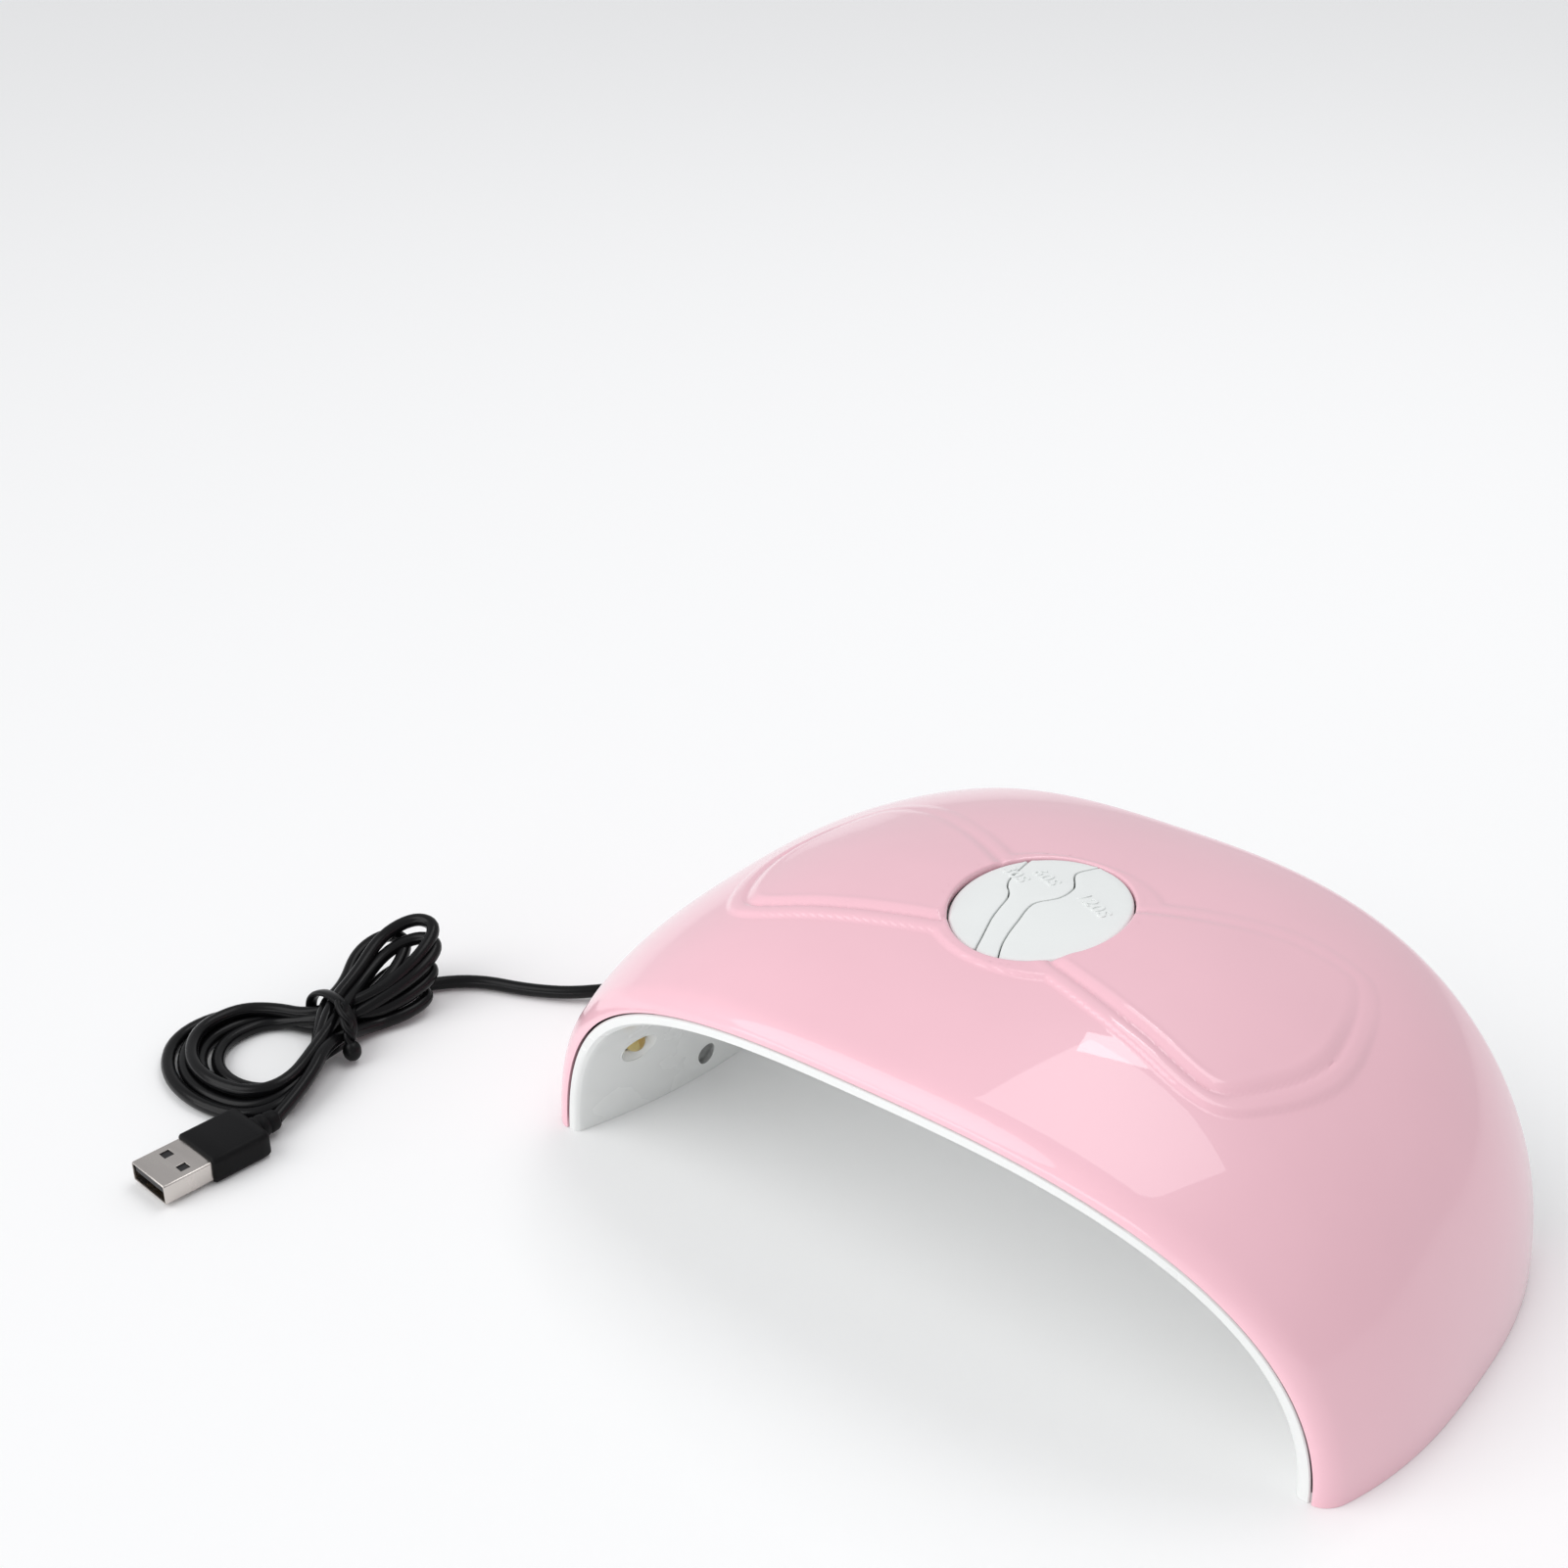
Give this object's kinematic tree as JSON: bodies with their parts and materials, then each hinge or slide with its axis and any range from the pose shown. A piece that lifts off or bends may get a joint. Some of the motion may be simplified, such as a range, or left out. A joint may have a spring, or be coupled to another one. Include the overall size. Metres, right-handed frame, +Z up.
{
  "type": "uv led nail lamp",
  "caption": "Arched UV LED nail-curing lamp with a pink cover, white open tunnel lined with LEDs, timer keys on top and a tied USB cable.",
  "frame": {"origin": "centre of the lamp's own bounding box at floor level, cable left out", "axes": "+X across the arch, away from the cable's side; -Y out of the front opening; +Z up"},
  "size_m": [0.27, 0.1699, 0.0648],
  "materials": {
    "pink_cover": "glossy moulded ABS",
    "white_shell": "satin to gloss moulded ABS",
    "white_key": "satin moulded ABS",
    "carrier_plastic": "moulded ABS",
    "switch_plastic": "moulded",
    "plunger_plastic": "moulded",
    "circuit_board": "solder mask",
    "chip_epoxy": "moulded epoxy",
    "component_body": "moulded",
    "led_board_mask": "white solder mask",
    "led_body": "phosphor and frame",
    "led_lens": "clear silicone dome",
    "wire_red": "pvc",
    "wire_black": "pvc",
    "screw_steel": "plated",
    "cable_pvc": "glossy pvc jacket",
    "tie_pvc": "pvc coated wire",
    "plug_pvc": "satin pvc overmould",
    "plug_steel": "nickel plated steel",
    "tongue_plastic": "moulded",
    "contact_gold": "gold flash"
  },
  "bodies": {
    "housing": {"top_shell": "pink_cover", "inner_shell": "white_shell", "switch_bodies": "switch_plastic", "key_carrier": "carrier_plastic", "control_board": "circuit_board", "controller_chip": "chip_epoxy", "board_parts": "component_body", "board_screws": "screw_steel", "led_board_left": "led_board_mask", "led_board_right": "led_board_mask", "led_board_top": "led_board_mask", "led_packages": "led_body", "led_lenses": "led_lens", "hookup_wire_red": "wire_red", "hookup_wire_black": "wire_black", "housing_screws": "screw_steel", "strain_relief": "cable_pvc", "inner_lead": "cable_pvc", "power_cable": "cable_pvc", "cable_hank": "cable_pvc", "cable_tie": "tie_pvc", "plug_overmold": "plug_pvc", "plug_shell": "plug_steel", "plug_tongue": "tongue_plastic", "plug_contacts": "contact_gold"},
    "key_30": {"key_30": "white_key", "plunger_30": "plunger_plastic"},
    "key_60": {"key_60": "white_key", "plunger_60": "plunger_plastic"},
    "key_120": {"key_120": "white_key", "plunger_120": "plunger_plastic"}
  },
  "joints": [
    {"name": "key_30_press", "type": "slide", "parent": "housing", "child": "key_30", "axis": [0, 0, -1], "range_m": [0, 0.0005], "stiffness_N_per_m": 800},
    {"name": "key_60_press", "type": "slide", "parent": "housing", "child": "key_60", "axis": [0, 0, -1], "range_m": [0, 0.0005], "stiffness_N_per_m": 800},
    {"name": "key_120_press", "type": "slide", "parent": "housing", "child": "key_120", "axis": [0, 0, -1], "range_m": [0, 0.0005], "stiffness_N_per_m": 800}
  ]
}
